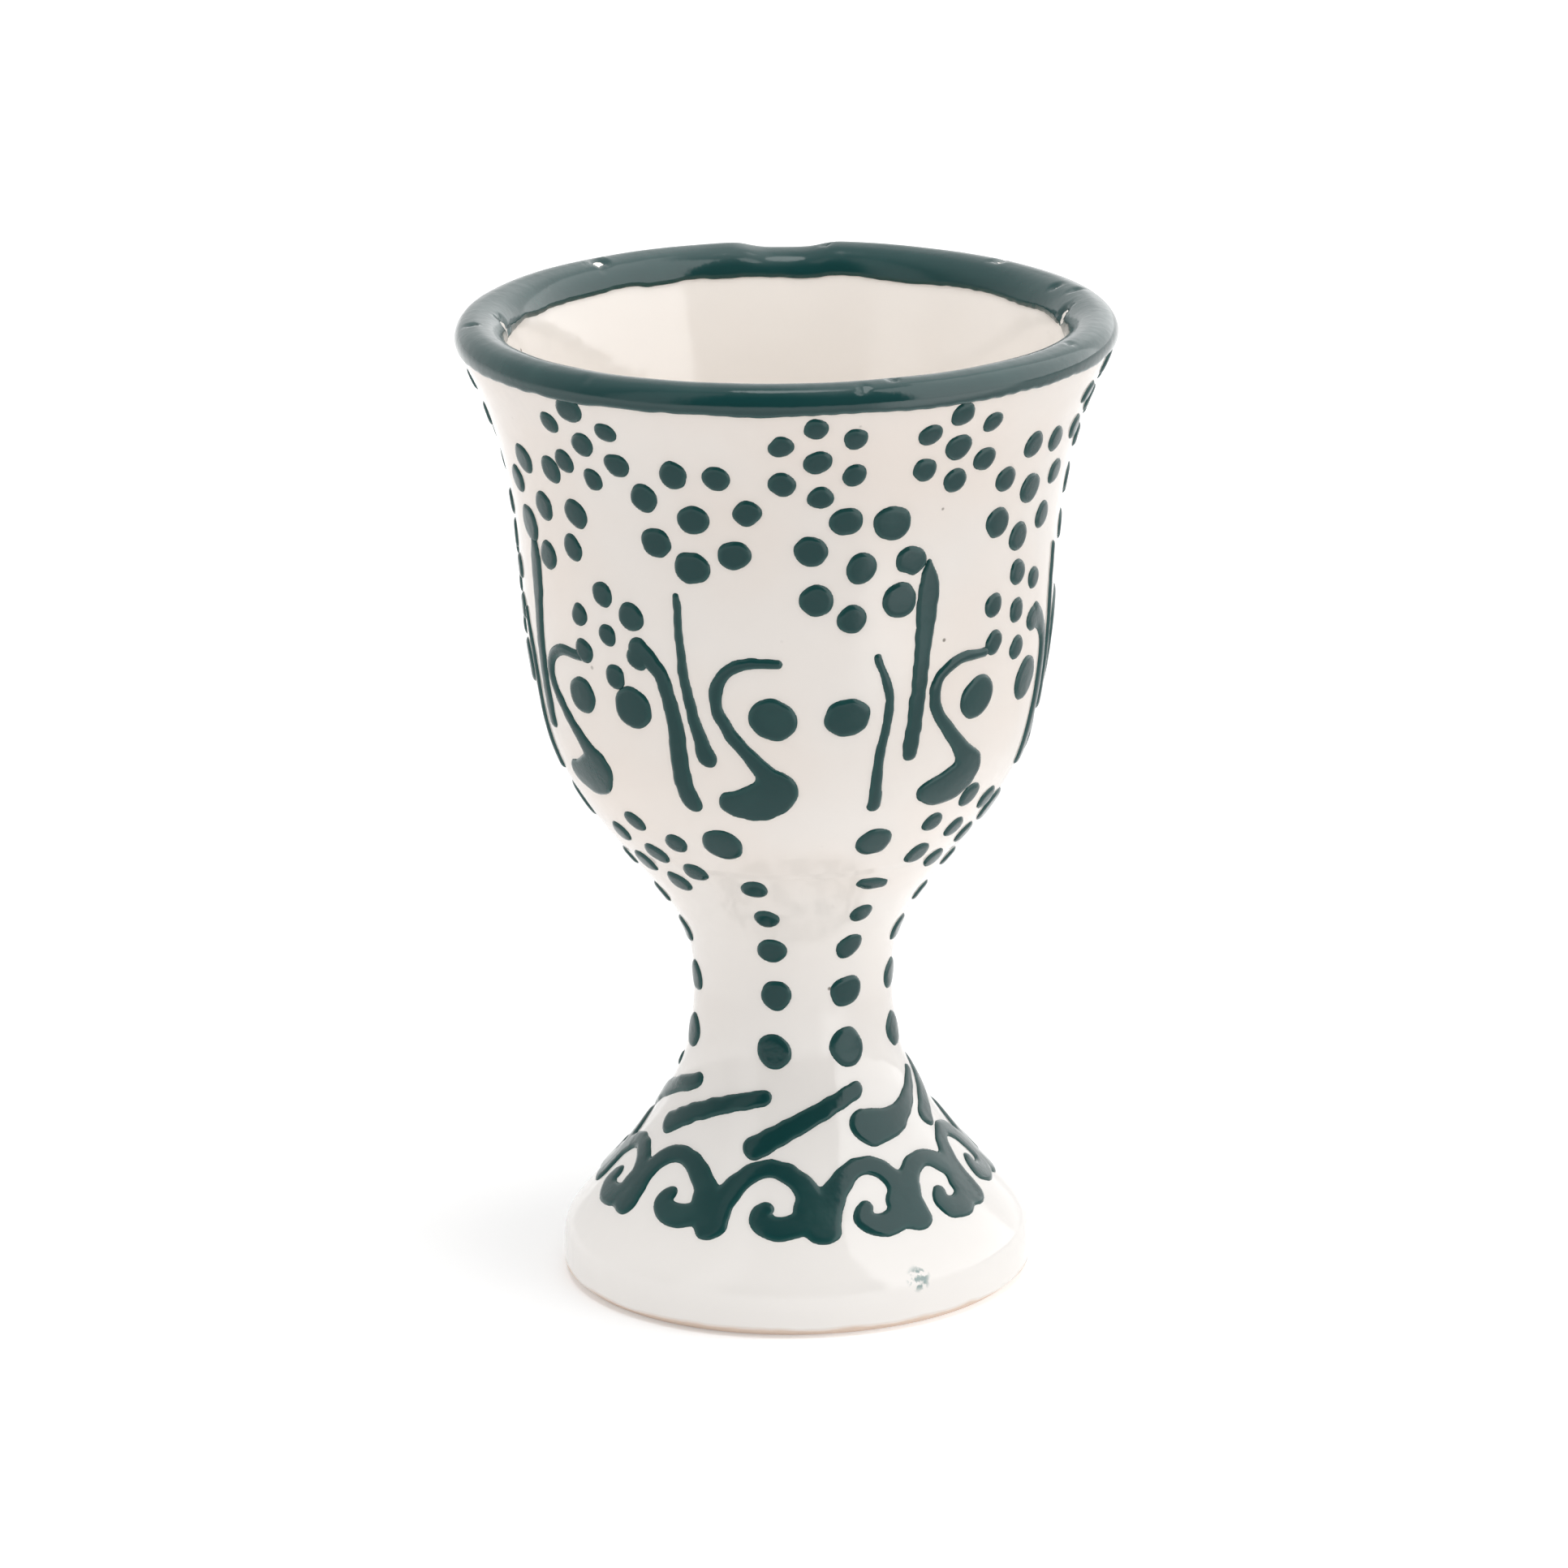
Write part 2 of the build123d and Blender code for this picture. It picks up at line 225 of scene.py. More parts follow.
def meshPiece(name, spots, faces, nodes, material):
    mesh = bpy.data.meshes.new(name)
    mesh.from_pydata([tuple(spot) for spot in spots], [], [tuple(int(i) for i in face) for face in faces])
    mesh.validate()
    mesh.shade_smooth()
    piece = bpy.data.objects.new(name, mesh)
    bpy.context.collection.objects.link(piece)
    mesh.materials.append(material)
    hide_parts(*nodes)
    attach(piece, "root")
    return piece


def addLayer(piece, name, values):
    layer = piece.data.attributes.new(name, "FLOAT", "POINT")
    layer.data.foreach_set("value", np.asarray(values).reshape(-1).astype(np.float32))


# shared effect: slow colour drift and small dents left by kiln and brush
firing = {"driftDetail": 3, "dentDetail": 2}


def kilnGroup():
    group = bpy.data.node_groups.new("kilnMarks", "ShaderNodeTree")
    for way, names in (("INPUT", ("Drift Scale", "Dent Scale")), ("OUTPUT", ("Drift", "Dents"))):
        for name in names:
            group.interface.new_socket(name, in_out=way, socket_type="NodeSocketFloat")
    entry = group.nodes.new("NodeGroupInput")
    leave = group.nodes.new("NodeGroupOutput")
    place = group.nodes.new("ShaderNodeTexCoord")
    for scale, detail, result in (("Drift Scale", "driftDetail", "Drift"), ("Dent Scale", "dentDetail", "Dents")):
        noise = group.nodes.new("ShaderNodeTexNoise")
        noise.inputs["Detail"].default_value = firing[detail]
        group.links.new(place.outputs["Object"], noise.inputs["Vector"])
        group.links.new(entry.outputs[scale], noise.inputs["Scale"])
        group.links.new(noise.outputs["Fac"], leave.inputs[result])
    return group


kilnMarks = kilnGroup()


def newMaterial(name):
    material = bpy.data.materials.new(name)
    material.use_nodes = True
    return material, material.node_tree, material.node_tree.nodes["Principled BSDF"]


def kilnNode(tree, driftScale, dentScale):
    kiln = tree.nodes.new("ShaderNodeGroup")
    kiln.node_tree = kilnMarks
    kiln.inputs["Drift Scale"].default_value = driftScale
    kiln.inputs["Dent Scale"].default_value = dentScale
    return kiln.outputs


def feed(tree, value, socket):
    # a number is set on the socket itself, and another node's output is linked to it
    if isinstance(value, float):
        socket.default_value = value
    else:
        tree.links.new(value, socket)


def mathNode(tree, operation, *values):
    node = tree.nodes.new("ShaderNodeMath")
    node.operation = operation
    for socket, value in zip(node.inputs, values):
        feed(tree, value, socket)
    return node.outputs["Value"]


def mixed(tree, factor, first, second):
    mix = tree.nodes.new("ShaderNodeMix")
    for socket, value in ((mix.inputs["Factor"], factor), (mix.inputs[2], first), (mix.inputs[3], second)):
        feed(tree, value, socket)
    return mix.outputs[0]


def colourMix(tree, factor, first, second):
    mix = tree.nodes.new("ShaderNodeMix")
    mix.data_type = "RGBA"
    tree.links.new(factor, mix.inputs["Factor"])
    for socket, colour in ((mix.inputs[6], first), (mix.inputs[7], second)):
        if isinstance(colour, tuple):
            socket.default_value = (*colour, 1)
        else:
            tree.links.new(colour, socket)
    return mix.outputs[2]


def ranged(tree, value, limits, toLow=0.0, toHigh=1.0):
    # soft change from one level to the other between two limits
    span = tree.nodes.new("ShaderNodeMapRange")
    span.interpolation_type = "SMOOTHSTEP"
    low, high = limits
    for name, number in (("From Min", low), ("From Max", high), ("To Min", toLow), ("To Max", toHigh)):
        span.inputs[name].default_value = number
    tree.links.new(value, span.inputs["Value"])
    return span.outputs["Result"]


def attribute(tree, name):
    node = tree.nodes.new("ShaderNodeAttribute")
    node.attribute_name = name
    return node.outputs["Fac"]


def addBump(tree, shader, height, look):
    bump = tree.nodes.new("ShaderNodeBump")
    bump.inputs["Strength"].default_value = look["bumpStrength"]
    bump.inputs["Distance"].default_value = look["bumpDistance"]
    tree.links.new(height, bump.inputs["Height"])
    tree.links.new(bump.outputs["Normal"], shader.inputs["Normal"])


# cream glaze over pale clay, with lengths in metres
glaze = {
    "pale": (0.80, 0.752, 0.708), "warm": (0.80, 0.722, 0.66), "foot": (0.80, 0.77, 0.738),
    # inside is painted light, paler than the outer glaze; floor is painted shade at the bottom of the bowl
    "inside": (0.86, 0.81, 0.76), "floor": (0.66, 0.61, 0.555), "roughness": 0.09, "refraction": 1.52,
    "driftScale": 45.0, "drift": (0.35, 0.68), "footFade": (0.012, 0.034), "floorFade": (0.042, 0.060),
    "speck": (0.22, 0.19, 0.16), "speckScale": 330.0, "speckSize": (0.03, 0.075), "speckChosen": (0.74, 0.97),
    "smear": (0.20, 0.29, 0.28), "smearPlace": (0.0098, -0.0162, 0.0040), "smearReach": (0.0006, 0.0013),
    "smearStrength": 0.9, "grainScale": 1600.0, "grain": (0.45, 0.6),
    "clay": (0.66, 0.53, 0.44), "bareBelow": (0.0001, 0.0006), "bareWander": -0.0008, "bareRoughness": 0.8,
    "ringScale": 21.0, "ringDistortion": 2.0, "ringDetail": 1.0, "ringHeight": 0.35,
    "jointWidth": (-0.0007, 0.0), "jointDepth": 1.4,
    "dentScale": 260.0, "bumpStrength": 0.12, "bumpDistance": 0.0006,
}


def speckMask(tree, place):
    # sparse dark specks in the glaze
    specks = tree.nodes.new("ShaderNodeTexVoronoi")
    specks.inputs["Scale"].default_value = glaze["speckScale"]
    tree.links.new(place, specks.inputs["Vector"])
    few = tree.nodes.new("ShaderNodeSeparateColor")
    tree.links.new(specks.outputs["Color"], few.inputs["Color"])
    spot = ranged(tree, specks.outputs["Distance"], glaze["speckSize"], 1.0, 0.0)
    return mathNode(tree, "MULTIPLY", spot, ranged(tree, few.outputs["Red"], glaze["speckChosen"]))


def smearMask(tree, place):
    # a touch of slip smeared on the foot
    grain = tree.nodes.new("ShaderNodeTexNoise")
    grain.inputs["Scale"].default_value = glaze["grainScale"]
    tree.links.new(place, grain.inputs["Vector"])
    away = tree.nodes.new("ShaderNodeVectorMath")
    away.operation = "DISTANCE"
    tree.links.new(place, away.inputs[0])
    away.inputs[1].default_value = glaze["smearPlace"]
    close = ranged(tree, away.outputs["Value"], glaze["smearReach"], glaze["smearStrength"], 0.0)
    return mathNode(tree, "MULTIPLY", close, ranged(tree, grain.outputs["Fac"], glaze["grain"]))


def throwingRings(tree, place):
    rings = tree.nodes.new("ShaderNodeTexWave")
    rings.bands_direction = "Z"
    rings.inputs["Scale"].default_value = glaze["ringScale"]
    rings.inputs["Distortion"].default_value = glaze["ringDistortion"]
    rings.inputs["Detail"].default_value = glaze["ringDetail"]
    tree.links.new(place, rings.inputs["Vector"])
    return rings.outputs["Fac"]


def glazeMaterial():
    material, tree, shader = newMaterial("creamGlaze")
    place = tree.nodes.new("ShaderNodeTexCoord").outputs["Object"]
    split = tree.nodes.new("ShaderNodeSeparateXYZ")
    tree.links.new(place, split.inputs["Vector"])
    height = split.outputs["Z"]
    kiln = kilnNode(tree, glaze["driftScale"], glaze["dentScale"])
    colour = colourMix(tree, ranged(tree, kiln["Drift"], glaze["drift"]), glaze["pale"], glaze["warm"])
    lowDown = ranged(tree, height, glaze["footFade"], 1.0, 0.0)  # cooler towards the foot
    colour = colourMix(tree, lowDown, colour, glaze["foot"])
    bottom = ranged(tree, height, glaze["floorFade"], 1.0, 0.0)
    hollow = colourMix(tree, bottom, glaze["inside"], glaze["floor"])  # painted light: paler inside the bowl than outside, and painted shade darker towards its floor
    colour = colourMix(tree, attribute(tree, "inside"), colour, hollow)
    colour = colourMix(tree, speckMask(tree, place), colour, glaze["speck"])
    colour = colourMix(tree, smearMask(tree, place), colour, glaze["smear"])
    edge = mathNode(tree, "MULTIPLY_ADD", kiln["Dents"], glaze["bareWander"], height)
    bare = ranged(tree, edge, glaze["bareBelow"], 1.0, 0.0)  # wiped off the foot ring, with a ragged edge
    colour = colourMix(tree, bare, colour, glaze["clay"])
    tree.links.new(colour, shader.inputs["Base Color"])
    roughness = ranged(tree, bare, (0.0, 1.0), glaze["roughness"], glaze["bareRoughness"])
    tree.links.new(roughness, shader.inputs["Roughness"])
    relief = mathNode(tree, "MULTIPLY_ADD", throwingRings(tree, place), glaze["ringHeight"], kiln["Dents"])
    above = mathNode(tree, "SUBTRACT", height, jointHeight * mm)
    ridge = ranged(tree, above, glaze["jointWidth"], 0.0, glaze["jointDepth"])  # low ridge at the luted joint
    addBump(tree, shader, mathNode(tree, "ADD", ridge, relief), glaze)
    shader.inputs["IOR"].default_value = glaze["refraction"]
    return material


# dark slip, paler where it is thin: fullDepth in mm from its edge, bumpDistance in metres
slip = {
    "thick": (0.004, 0.040, 0.040), "thin": (0.010, 0.060, 0.057), "dusty": (0.012, 0.055, 0.053),
    "fullDepth": 0.9, "thinEdge": (0.05, 0.55), "driftScale": 160.0, "dust": (0.5, 0.75), "dustShare": 0.55,
    "roughDrift": (0.3, 0.8), "roughness": (0.09, 0.24), "coatRoughness": 0.06, "refraction": 1.36,
    "dentScale": 900.0, "bumpStrength": 0.18, "bumpDistance": 0.0002,
}


def slipMaterial():
    material, tree, shader = newMaterial("tealSlip")
    kiln = kilnNode(tree, slip["driftScale"], slip["dentScale"])
    thin = ranged(tree, attribute(tree, "thickness"), slip["thinEdge"], 1.0, 0.0)
    colour = colourMix(tree, thin, slip["thick"], slip["thin"])
    dust = ranged(tree, kiln["Drift"], slip["dust"], 0.0, slip["dustShare"])
    tree.links.new(colourMix(tree, dust, colour, slip["dusty"]), shader.inputs["Base Color"])
    roughness = ranged(tree, kiln["Drift"], slip["roughDrift"], *slip["roughness"])
    tree.links.new(roughness, shader.inputs["Roughness"])
    addBump(tree, shader, kiln["Dents"], slip)
    tree.links.new(attribute(tree, "coat"), shader.inputs["Coat Weight"])  # glassier over the lip
    shader.inputs["Coat Roughness"].default_value = slip["coatRoughness"]
    shader.inputs["IOR"].default_value = slip["refraction"]
    return material


def slipThickness(depth):
    return np.clip(depth / slip["fullDepth"], 0, 1)


creamGlaze = glazeMaterial()
tealSlip = slipMaterial()
print("materials made")

# bowl and pedestal under one glaze, turned as a single closed skin, in mm
body = {
    "roofShare": 0.5, "roofRound": ((-0.8, -0.05), (0.2, -0.9)),  # from the upper corner of the hollow
    "footRound": 0.5, "ringRound": ((-1.0, 1.4), (0.0, 0.3), (1.0, 0.0)),  # from its lower one, in foot rounds
    "footEdge": 0.1, "floorDip": 0.5, "floorShares": (0.75, 0.5, 0.25), "floorMiddle": 0.02,
}


def glazedBody():
    hollowTop, hollowRim, footRing = hollowRings[-1], hollowRings[0], outerRings[0]
    soft = body["footRound"]
    under = [(hollowTop[0] * body["roofShare"], hollowTop[1]),
             *((hollowTop[0] + out, hollowTop[1] + up) for out, up in body["roofRound"]),
             *((hollowRim[0] + out * soft, up * soft) for out, up in body["ringRound"]),
             (footRing[0] - soft, 0.0), (footRing[0], body["footEdge"])]
    floor = [(innerWall[-1][0] * share, innerWall[-1][1] - body["floorDip"] * (1 - share) ** 2)
             for share in body["floorShares"]]
    profile = np.array([*under, *outerWall, *innerWall[1:], *floor])
    slices = turning["slicesRound"]
    turns = np.arange(slices) * 2 * np.pi / slices
    spots = np.concatenate([handThrown(np.full(slices, r), turns, np.full(slices, z)) for r, z in profile])
    faces = []
    for ring in range(len(profile) - 1):
        low = ring * slices
        for side in range(slices):
            after = (side + 1) % slices
            faces.append((low + side, low + after, low + slices + after, low + slices + side))
    middles = np.array([hollowTop[1], profile[-1][1] - body["floorMiddle"]])
    top = len(spots)
    last = (len(profile) - 1) * slices
    for side in range(slices):
        after = (side + 1) % slices
        faces.append((top, after, side))
        faces.append((top + 1, last + side, last + after))
    spots = np.concatenate([spots, handThrown(np.zeros(2), np.zeros(2), middles)])
    piece = meshPiece("glazedBody", spots, faces, ("bowl", "pedestal"), creamGlaze)
    isInside = np.arange(len(profile)) >= len(under) + len(outerWall)
    addLayer(piece, "inside", np.append(np.repeat(isInside, slices), [False, True]))


glazedBody()
print("body turned")

# coloured band poured over the lip, with wandering edges, in mm and degrees
band = {
    "outerEdge": 2.05, "innerEdge": 2.1, "thickness": 0.3, "edgeRound": 0.45, "sink": 0.03, "coat": 0.35,
    "cuts": 34, "slices": 480, "radius": 25, "lipReach": 5, "slopeStep": 0.2, "wander": 0.15,
    "outerWander": ((9, 3, 0.7), (2.2, 4, 0.35)), "innerWander": ((8, 5, 1), (2.0, 6, 0.25)),  # size, seed, share
    "swell": 0.07, "swellSize": 11, "swellSeed": 7, "ragged": 0.35, "raggedSize": 0.7,
    "chipsAndGlints": (  # angle, share of the way over the lip, reach and depth: chips, and painted glints at 13, 19 and -84 degrees
        (-141, 0.55, 0.7, 0.3), (135, 0.45, 0.6, 0.28), (107, 0.5, 0.45, 0.25), (113, 0.62, 0.4, 0.28),
        (100, 0.88, 0.9, 0.4), (-96, 0.88, 0.9, 0.4), (13, 0.3, 0.3, 0.2), (19, 0.42, 0.35, 0.22),
        (-84, 0.4, 0.4, 0.22), (172, 0.5, 0.35, 0.25), (-37, 0.3, 0.25, 0.18), (62, 0.4, 0.3, 0.2)),
}


def rimBand():
    lowest = lipHeight - band["lipReach"]
    lipLine = np.concatenate([outerWall[outerWall[:, 1] > lowest], innerWall[1:][innerWall[1:, 1] > lowest]])
    length = lengthOf(lipLine)
    crest = length[np.argmax(lipLine[:, 1])]
    outside, inside = length <= crest, length >= crest
    outerStart = np.interp(lipHeight - band["outerEdge"], lipLine[outside, 1], length[outside])
    innerEnd = np.interp(band["innerEdge"] - lipHeight, -lipLine[inside, 1], length[inside])
    turns = np.arange(band["slices"]) * 2 * np.pi / band["slices"]
    ringX, ringY = band["radius"] * np.cos(turns), band["radius"] * np.sin(turns)

    def wander(waves):
        return band["wander"] * sum(unevenness(ringX, ringY, size, seed) * share for size, seed, share in waves)

    starts = outerStart + wander(band["outerWander"])
    finishes = innerEnd + wander(band["innerWander"])
    shares = 0.5 - 0.5 * np.cos(np.pi * np.arange(band["cuts"] + 1) / band["cuts"])
    along = starts[:, None] + (finishes - starts)[:, None] * shares
    depth = np.minimum(along - starts[:, None], finishes[:, None] - along)
    bulge = unevenness(ringX[:, None] + along, ringY[:, None], band["swellSize"], band["swellSeed"])
    lift = band["thickness"] * domed(depth, band["edgeRound"]) * (1 + band["swell"] * bulge) - band["sink"]
    perDegree = math.radians(band["radius"])  # mm round the lip
    # each dent sinks the band under the body so the pale glaze shows: real chips, and painted glints at 13, 19 and
    # -84 degrees
    for angle, share, reach, deep in band["chipsAndGlints"]:
        aside = halfTurn(np.degrees(turns) - angle)[:, None] * perDegree
        over = along - (outerStart + (innerEnd - outerStart) * share)
        ragged = 1 + band["ragged"] * unevenness(aside, over, band["raggedSize"], int(share * 100))
        lift = lift - deep * np.exp(-((np.hypot(aside, over) * ragged / reach) ** 4))
    radius, level = [np.interp(along, length, lipLine[:, k]) for k in (0, 1)]
    rise = slopeOf(along, length, lipLine, band["slopeStep"])
    spots = handThrown(radius + lift * rise[..., 1], turns[:, None] + 0 * along, level - lift * rise[..., 0])
    row = band["cuts"] + 1
    faces = []
    for side in range(band["slices"]):
        here, after = side * row, (side + 1) % band["slices"] * row
        faces += [(here + cut, after + cut, after + cut + 1, here + cut + 1) for cut in range(band["cuts"])]
    piece = meshPiece("rimBand", spots.reshape(-1, 3), faces, ("rim_band",), tealSlip)
    addLayer(piece, "thickness", slipThickness(depth))
    addLayer(piece, "coat", np.full(depth.size, band["coat"]))


rimBand()
print("rim band laid")

# slip trailed on the wall: every mark is a run of (across, up, radius) spots in mm
trail = {
    "relief": 0.29, "edgeRound": 0.5, "crown": 0.12, "crownDepth": 1.4, "sink": 0.04,
    "wander": 0.06, "wanderSize": 2.3, "melt": 0.5, "cuts": 5, "pitch": 0.16, "margin": 0.7,
    "near": 4, "outside": -9.0, "pulls": 3, "probe": 0.02, "flattest": 0.3, "seedStep": 31,
}


def markField(u, v, marks):
    # how deep a spot lies inside the marks, which melt into each other where they meet
    field = None
    for mark in marks:
        nodes = flowing(mark, trail["cuts"]) if len(mark) > 2 else mark
        sides = np.array(nodes)[:, 0]
        close = (u > sides.min() - trail["near"]) & (u < sides.max() + trail["near"])
        nearU, nearV = u[close], v[close]
        nearDepth = np.full(nearU.shape, trail["outside"])
        for (ax, ay, ar), (bx, by, br) in zip(nodes, nodes[1:]):
            dx, dy = bx - ax, by - ay
            share = np.clip(((nearU - ax) * dx + (nearV - ay) * dy) / (dx * dx + dy * dy), 0, 1)
            away = np.hypot(nearU - ax - share * dx, nearV - ay - share * dy)
            nearDepth = np.maximum(nearDepth, ar + (br - ar) * share - away)
        depth = np.full(u.shape, trail["outside"])
        depth[close] = nearDepth
        if field is None:
            field = depth
        else:
            joined = np.clip(1 - np.abs(field - depth) / trail["melt"], 0, 1)
            field = np.maximum(field, depth) + joined * joined * trail["melt"] / 4
    return field


def trailedPatch(angle, height, marks, seed, around):
    # fine net over the marks, cut to their outline and domed: spots, faces and thickness
    nodes = np.array([node for mark in marks for node in mark], float)
    low = (nodes[:, :2] - nodes[:, 2:]).min(0) - trail["margin"]
    high = (nodes[:, :2] + nodes[:, 2:]).max(0) + trail["margin"]
    if around:
        count = int(2 * math.pi * around / trail["pitch"])
        lines = np.linspace(-math.pi, math.pi, count, endpoint=False) * around
    else:
        lines = np.arange(low[0], high[0], trail["pitch"])
    u, v = np.meshgrid(lines, np.arange(low[1], high[1], trail["pitch"]), indexing="ij")

    def depthAt(uu, vv):
        return markField(uu, vv, marks) + trail["wander"] * unevenness(uu, vv, trail["wanderSize"], seed)

    depth = depthAt(u, v)
    inside = depth > 0
    beside = inside | np.roll(inside, -1, axis=0)
    cells = beside[:, :-1] | beside[:, 1:]
    probe = trail["probe"]
    for pull in range(trail["pulls"]):  # spots just outside move onto the outline
        slopeU = (depthAt(u + probe, v) - depthAt(u - probe, v)) / (2 * probe)
        slopeV = (depthAt(u, v + probe) - depthAt(u, v - probe)) / (2 * probe)
        steep = np.maximum(slopeU**2 + slopeV**2, trail["flattest"])
        u = np.where(inside, u, u - depth * slopeU / steep)
        v = np.where(inside, v, v - depth * slopeV / steep)
        depth = np.where(inside, depth, depthAt(u, v))
    depth = np.where(inside, depth, 0)
    crown = 1 - trail["crown"] + trail["crown"] * np.clip(depth / trail["crownDepth"], 0, 1)
    lift = trail["relief"] * domed(depth, trail["edgeRound"]) * crown - trail["sink"]
    spots = onWall(angle, height, u, v, lift, around)
    number = np.arange(u.size).reshape(u.shape)
    after = np.roll(number, -1, axis=0)
    quads = np.stack([number[:, :-1], after[:, :-1], after[:, 1:], number[:, 1:]], -1)
    if not around:
        quads, cells = quads[:-1], cells[:-1]
    quads = quads[cells]
    used = np.unique(quads)
    renumber = np.zeros(u.size, int)
    renumber[used] = np.arange(len(used))
    return spots.reshape(-1, 3)[used], renumber[quads], slipThickness(depth).reshape(-1)[used]


def trailedPiece(name, nodeName, patches, around=None):
    allSpots, allFaces, allDepths, count = [], [], [], 0
    for index, (angle, height, marks) in enumerate(patches):
        seed = index + len(name) * trail["seedStep"]
        spots, faces, depths = trailedPatch(angle, height, marks, seed, around)
        allSpots.append(spots)
        allFaces.append(faces + count)
        allDepths.append(depths)
        count += len(spots)
    piece = meshPiece(name, np.concatenate(allSpots), np.concatenate(allFaces), (nodeName,), tealSlip)
    addLayer(piece, "thickness", np.concatenate(allDepths))
    print(name, len(patches), "marks,", count, "spots")


def solidsOf(nodeName):
    # corners in mm of each separate solid of a node, joined up through the faces that share them
    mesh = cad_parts[nodeName].data
    corners = [tuple(round(value / mm, 3) for value in vertex.co) for vertex in mesh.vertices]
    owner = {corner: corner for corner in corners}

    def head(corner):
        while owner[corner] != corner:
            owner[corner] = owner[owner[corner]]
            corner = owner[corner]
        return corner

    for face in mesh.polygons:
        for index in face.vertices[1:]:
            owner[head(corners[index])] = head(corners[face.vertices[0]])
    solids = {}
    for corner in owner:
        solids.setdefault(head(corner), []).append(corner)
    return [np.array(solid) for solid in solids.values()]


# the potter's hand: where a count round the cup starts, in degrees left of the front, and the scatter of dots
hand = {
    "start": 100, "size": (0.92, 1.08), "stretch": (0.0, 0.16), "pinch": 0.5,
    "twist": (-4, 4), "spread": (0.95, 1.05), "crowding": 1.3,
}


def fromFront(angle):
    return (angle + hand["start"]) % 360 - hand["start"]


def footprint(solid):
    # middle of a solid on the wall as angle and height, and how far it reaches from there
    facing = math.atan2(solid[:, 0].mean(), -solid[:, 1].mean())
    turns = np.arctan2(solid[:, 0], -solid[:, 1]) - facing
    turns = (turns + math.pi) % (2 * math.pi) - math.pi
    along = lengthAt(solid[:, 2])
    height = heightAt((along.min() + along.max()) / 2)
    reach = np.linalg.norm(solid - solid.mean(0), axis=1).max()
    return fromFront(math.degrees(facing + (turns.min() + turns.max()) / 2)), height, reach


def placesOf(nodeName):
    return sorted(footprint(solid) for solid in solidsOf(nodeName))


def dotMarks(places, dice, share):
    # one patch for each dot, with the hand's scatter in size and roundness
    patches = []
    for angle, height, reach in places:
        size = reach * share * dice.uniform(*hand["size"])
        stretch = size * dice.uniform(*hand["stretch"])
        lean = dice.uniform(0, math.pi)
        aside, up = stretch * math.cos(lean), stretch * math.sin(lean)
        rounded = size - stretch * hand["pinch"]
        patches.append((angle, height, [[(-aside, -up, rounded), (aside, up, rounded)]]))
    return patches


# rosettes: the solids' even rings, turned by the row's twist and spread by a loose hand
# dot is a dot's share of its solid's size
rimRow = {"petals": 6, "twist": -4, "spread": 1.04, "dot": 0.9, "seed": 11}
shoulderRow = {"petals": 7, "twist": 32, "spread": 1.07, "dot": 0.83, "seed": 12}
bellyRow = {"petals": 6, "twist": 53, "spread": 1.06, "dot": 0.87, "seed": 13}
underRow = {"petals": 6, "twist": 55, "spread": 1.0, "dot": 0.88, "seed": 14}


def rosetteMarks(nodeName, row):
    dice = np.random.default_rng(row["seed"])
    dots = np.array(placesOf(nodeName))
    along, radius = lengthAt(dots[:, 1]), radiusAt(dots[:, 1])
    across = np.radians(halfTurn(dots[None, :, 0] - dots[:, None, 0])) * radius[:, None]
    up = along[None, :] - along[:, None]
    apart = np.hypot(across, up)
    crowd = np.sort(apart, axis=1)[:, row["petals"]]  # a middle dot has all its petals close by
    places = []
    for middle in np.flatnonzero(crowd < hand["crowding"] * crowd.min()):
        places.append(tuple(dots[middle]))
        petals = np.argsort(apart[middle])[1:row["petals"] + 1]
        for petal in petals[np.argsort(np.arctan2(across[middle, petals], up[middle, petals]))]:
            turn = math.radians(row["twist"] + dice.uniform(*hand["twist"]))
            spread = row["spread"] * dice.uniform(*hand["spread"])
            x, y = across[middle, petal] * spread, up[middle, petal] * spread
            aside = x * math.cos(turn) + y * math.sin(turn)
            rise = y * math.cos(turn) - x * math.sin(turn)
            angle = dots[middle, 0] + math.degrees(aside / radius[middle])
            places.append((angle, heightAt(along[middle] + rise), dots[petal, 2]))
    return dotMarks(places, dice, row["dot"])


trailedPiece("rimRosettes", "rim_rosettes", rosetteMarks("rim_rosettes", rimRow))
trailedPiece("shoulderRosettes", "shoulder_rosettes", rosetteMarks("shoulder_rosettes", shoulderRow))
trailedPiece("bellyRosettes", "belly_rosettes", rosetteMarks("belly_rosettes", bellyRow))
underMarks = rosetteMarks("under_bowl_rosettes", underRow)
trailedPiece("underBowlRosettes", "under_bowl_rosettes", underMarks)


def centred(*courses):
    # courses of (across, up, radius) moved so that the middle of their box is the solid's middle
    nodes = np.array([node for course in courses for node in course], float)
    middle = ((nodes[:, :2] - nodes[:, 2:]).min(0) + (nodes[:, :2] + nodes[:, 2:]).max(0)) / 2
    return [[(x - middle[0], y - middle[1], radius) for x, y, radius in course] for course in courses]


# tendrils round the belly, each a hook that swells into a fat drop
tendril = {
    "hook": ((2.5, 6.8, 0.42), (-0.4, 6.7, 0.5), (-2.2, 5.2, 0.55), (-2.4, 3.0, 0.55), (-1.2, 0.5, 0.6),
             (0.8, -2.0, 0.75), (2.2, -3.8, 1.3)),
    "drop": ((2.2, -4.3, 1.55), (1.2, -5.1, 1.9), (-0.3, -5.6, 1.6), (-1.6, -5.5, 1.1)),
    "hookHeights": (0.8, 1.0, 0.85, 1.0, 0.9, 1.0, 0.9),  # some hooks were drawn shorter
}


def tendrilMarks():
    hook, drop = centred(tendril["hook"], tendril["drop"])
    patches = []
    for (angle, height, _), share in zip(placesOf("tendrils"), tendril["hookHeights"]):
        drawn = [(across, up * share if up > 0 else up, radius) for across, up, radius in hook]
        patches.append((angle, height, [drawn, drop]))
    return patches


trailedPiece("tendrils", "tendrils", tendrilMarks())

